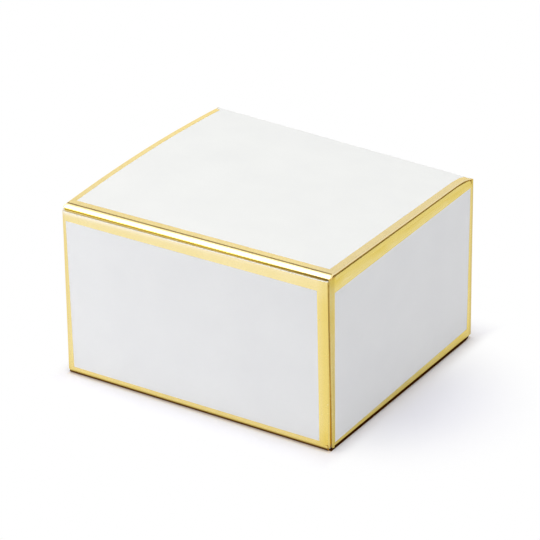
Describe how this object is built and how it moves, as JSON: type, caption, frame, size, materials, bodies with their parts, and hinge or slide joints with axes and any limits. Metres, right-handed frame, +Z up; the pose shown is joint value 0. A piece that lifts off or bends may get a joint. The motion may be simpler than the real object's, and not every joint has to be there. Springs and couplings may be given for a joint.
{
  "type": "favor box",
  "caption": "Small white folding carton with gold foil edges; a tucked lid hinged at the back opens to take sweets or a small gift.",
  "frame": {"origin": "middle of the carton's base, on the surface it stands on", "axes": "+X to the right along the wide front, +Y from the front to the hinged back, +Z up"},
  "size_m": [0.06, 0.055, 0.0368],
  "materials": {
    "white_board": "coated white paperboard outside with a soft sheen, plain white inside",
    "gold_foil": "pale gold hot-stamped foil, satin bright",
    "seam_glue": "dried adhesive film"
  },
  "bodies": {
    "carton": {"front_panel": "white_board", "front_foil": "gold_foil", "left_panel": "white_board", "left_foil": "gold_foil", "back_panel": "white_board", "back_foil": "gold_foil", "right_panel": "white_board", "right_foil": "gold_foil", "glue_flap": "white_board", "seam_glue": "seam_glue"},
    "lid": {"lid_panel": "white_board", "lid_nose": "white_board", "lid_foil": "gold_foil"},
    "lid_tuck": {"lid_tuck_flap": "white_board"},
    "lid_left_dust": {"lid_left_dust_flap": "white_board"},
    "lid_right_dust": {"lid_right_dust_flap": "white_board"},
    "base": {"base_panel": "white_board", "base_nose": "white_board", "base_foil": "gold_foil"},
    "base_tuck": {"base_tuck_flap": "white_board"},
    "base_left_dust": {"base_left_dust_flap": "white_board"},
    "base_right_dust": {"base_right_dust_flap": "white_board"}
  },
  "joints": [
    {"name": "lid_hinge", "type": "hinge", "parent": "carton", "child": "lid", "pos_m": [0, 0.0273, 0.0361], "axis": [-1, 0, 0], "range_deg": [0, 180]},
    {"name": "lid_tuck_fold", "type": "hinge", "parent": "lid", "child": "lid_tuck", "pos_m": [0, -0.02675, 0.035], "axis": [-1, 0, 0], "range_deg": [0, 45]},
    {"name": "lid_left_dust_fold", "type": "hinge", "parent": "carton", "child": "lid_left_dust", "pos_m": [-0.0298, 0, 0.03555], "axis": [0, -1, 0], "range_deg": [0, 90]},
    {"name": "lid_right_dust_fold", "type": "hinge", "parent": "carton", "child": "lid_right_dust", "pos_m": [0.0298, 0, 0.03555], "axis": [0, 1, 0], "range_deg": [0, 90]},
    {"name": "base_hinge", "type": "hinge", "parent": "carton", "child": "base", "pos_m": [0, -0.0273, 0.0002], "axis": [-1, 0, 0], "range_deg": [0, 180]},
    {"name": "base_tuck_fold", "type": "hinge", "parent": "base", "child": "base_tuck", "pos_m": [0, 0.02675, 0.0013], "axis": [-1, 0, 0], "range_deg": [0, 45]},
    {"name": "base_left_dust_fold", "type": "hinge", "parent": "carton", "child": "base_left_dust", "pos_m": [-0.0298, 0, 0.00075], "axis": [0, 1, 0], "range_deg": [0, 90]},
    {"name": "base_right_dust_fold", "type": "hinge", "parent": "carton", "child": "base_right_dust", "pos_m": [0.0298, 0, 0.00075], "axis": [0, -1, 0], "range_deg": [0, 90]}
  ],
  "couplings": [
    {"joint": "lid_tuck_fold", "follows": "lid_hinge", "ratio": 0.25},
    {"joint": "lid_left_dust_fold", "follows": "lid_hinge", "ratio": 0.5},
    {"joint": "lid_right_dust_fold", "follows": "lid_hinge", "ratio": 0.5},
    {"joint": "base_tuck_fold", "follows": "base_hinge", "ratio": 0.25},
    {"joint": "base_left_dust_fold", "follows": "base_hinge", "ratio": 0.5},
    {"joint": "base_right_dust_fold", "follows": "base_hinge", "ratio": 0.5}
  ]
}
